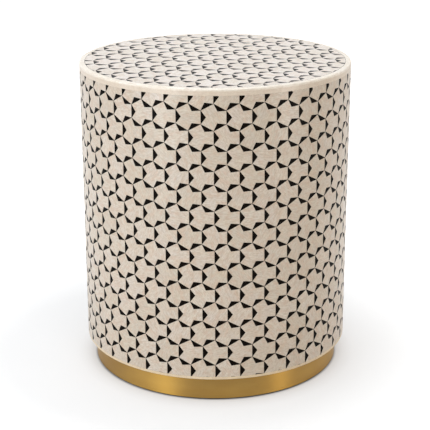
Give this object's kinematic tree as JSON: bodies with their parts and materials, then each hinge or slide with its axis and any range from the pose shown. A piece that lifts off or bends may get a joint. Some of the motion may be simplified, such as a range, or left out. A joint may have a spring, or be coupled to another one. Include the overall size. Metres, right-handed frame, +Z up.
{
  "type": "stool",
  "caption": "Round drum stool with a bone tile mosaic set in black resin over a wooden carcass, on a recessed brass plinth with felt pads.",
  "frame": {"origin": "centre of the stool on the floor, under the felt pads", "axes": "+Z up along the drum's axis, -Y towards the viewer, +X to the viewer's right"},
  "size_m": [0.4, 0.4, 0.464],
  "materials": {
    "bone": "polished bone with fine grain",
    "bone_edge": "polished cream bone",
    "black_resin": "polished black resin",
    "carcass_wood": "bare sanded softwood",
    "plinth_wood": "sealed hardwood",
    "brass": "satin brushed brass",
    "felt": "dark pressed felt"
  },
  "bodies": {
    "root": {"base_board": "carcass_wood", "brass_band": "brass", "carcass_staves": "carcass_wood", "felt_pads": "felt", "foot_band": "bone_edge", "middle_former": "carcass_wood", "plinth_core": "plinth_wood", "rim_ring": "bone_edge", "side_resin_bed": "black_resin", "side_tiles_course_01": "bone", "side_tiles_course_02": "bone", "side_tiles_course_03": "bone", "side_tiles_course_04": "bone", "side_tiles_course_05": "bone", "side_tiles_course_06": "bone", "side_tiles_course_07": "bone", "side_tiles_course_08": "bone", "side_tiles_course_09": "bone", "side_tiles_course_10": "bone", "side_tiles_course_11": "bone", "side_tiles_course_12": "bone", "side_tiles_course_13": "bone", "side_tiles_course_14": "bone", "side_tiles_course_15": "bone", "top_board": "carcass_wood", "top_resin_bed": "black_resin", "top_tiles": "bone"}
  },
  "joints": []
}
